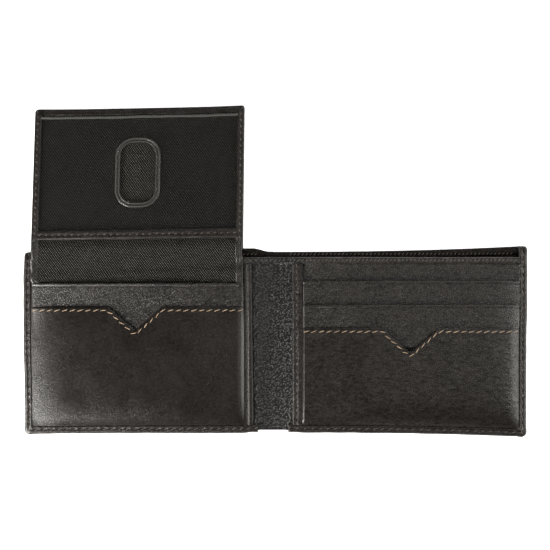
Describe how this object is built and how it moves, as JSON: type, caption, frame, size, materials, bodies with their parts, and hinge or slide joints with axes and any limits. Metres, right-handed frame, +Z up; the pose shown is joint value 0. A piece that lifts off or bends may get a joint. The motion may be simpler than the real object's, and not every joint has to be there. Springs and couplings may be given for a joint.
{
  "type": "bifold wallet with flip-up identity flap",
  "caption": "Slim leather wallet lying open: two folding leaves with card slots, a flip-up clear-window identity flap and a full-length banknote compartment.",
  "frame": {"origin": "middle of the spine's underside, where the open wallet rests on the table", "axes": "+X along the open wallet to the right leaf, +Y across the leaves towards the open banknote compartment and the flap, +Z up, out of the wallet's inside"},
  "size_m": [0.2395, 0.1561, 0.0083],
  "materials": {
    "shell_leather": "fine grain, semi-matt",
    "pocket_leather": "soft nappa, satin",
    "gutter_leather": "pebbled, satin",
    "binding_leather": "turned edge, satin",
    "twill_lining": "black diagonal twill",
    "window_film": "clear soft vinyl",
    "accent_thread": "tan polyester thread",
    "seam_thread": "dark brown polyester thread"
  },
  "bodies": {
    "left_leaf": {"shell_left": "shell_leather", "shell_lining_left": "twill_lining", "shell_hem_left": "shell_leather", "edge_binding_left": "binding_leather", "bottom_binding_left": "binding_leather", "panel_left": "pocket_leather", "panel_lining_left": "twill_lining", "panel_hem_left": "pocket_leather", "gutter_strip_left": "binding_leather", "flap_tab": "pocket_leather", "flap_tab_lining": "twill_lining", "pocket_seams_left": "pocket_leather", "slip_pocket_left": "pocket_leather", "notched_pocket_left": "pocket_leather", "thread_edge_left": "seam_thread", "thread_gutter_left": "seam_thread", "thread_hem_left": "seam_thread", "thread_pocket_left": "accent_thread"},
    "spine": {"shell_spine": "shell_leather", "shell_lining_spine": "twill_lining", "shell_hem_spine": "shell_leather", "gutter_panel": "gutter_leather", "gutter_lining": "twill_lining", "gutter_hem": "gutter_leather", "spine_foot_seam": "gutter_leather", "thread_hem_spine": "seam_thread"},
    "right_leaf": {"shell_right": "shell_leather", "shell_lining_right": "twill_lining", "shell_hem_right": "shell_leather", "edge_binding_right": "binding_leather", "bottom_binding_right": "binding_leather", "panel_right": "pocket_leather", "panel_lining_right": "twill_lining", "panel_hem_right": "pocket_leather", "gutter_strip_right": "binding_leather", "pocket_seams_right": "pocket_leather", "slot_upper_right": "pocket_leather", "slot_upper_lining_right": "twill_lining", "slot_lower_right": "pocket_leather", "slot_lower_lining_right": "twill_lining", "notched_pocket_right": "pocket_leather", "thread_edge_right": "seam_thread", "thread_gutter_right": "seam_thread", "thread_hem_right": "seam_thread", "thread_pocket_right": "accent_thread"},
    "flap_fold": {"fold_strip": "pocket_leather", "fold_strip_lining": "twill_lining"},
    "id_flap": {"flap_back": "pocket_leather", "flap_lining": "twill_lining", "flap_window": "window_film", "thumb_rim": "window_film", "flap_binding_left": "binding_leather", "flap_binding_right": "binding_leather", "flap_binding_far": "binding_leather", "flap_foot_strip": "pocket_leather", "thread_flap": "seam_thread"}
  },
  "joints": [
    {"name": "gutter_fold_left", "type": "hinge", "parent": "left_leaf", "child": "spine", "pos_m": [-0.006, 0, 0.0037], "axis": [0, -1, 0], "range_deg": [0, 90]},
    {"name": "gutter_fold_right", "type": "hinge", "parent": "spine", "child": "right_leaf", "pos_m": [0.006, 0, 0.0037], "axis": [0, -1, 0], "range_deg": [0, 90]},
    {"name": "flap_fold_near", "type": "hinge", "parent": "left_leaf", "child": "flap_fold", "pos_m": [-0.0644, 0.0374, 0.0048], "axis": [1, 0, 0], "range_deg": [0, 90]},
    {"name": "flap_fold_far", "type": "hinge", "parent": "flap_fold", "child": "id_flap", "pos_m": [-0.0644, 0.042, 0.0048], "axis": [1, 0, 0], "range_deg": [0, 92.9]}
  ],
  "couplings": [
    {"joint": "gutter_fold_right", "follows": "gutter_fold_left", "ratio": 1},
    {"joint": "flap_fold_far", "follows": "flap_fold_near", "ratio": 1.0318}
  ]
}
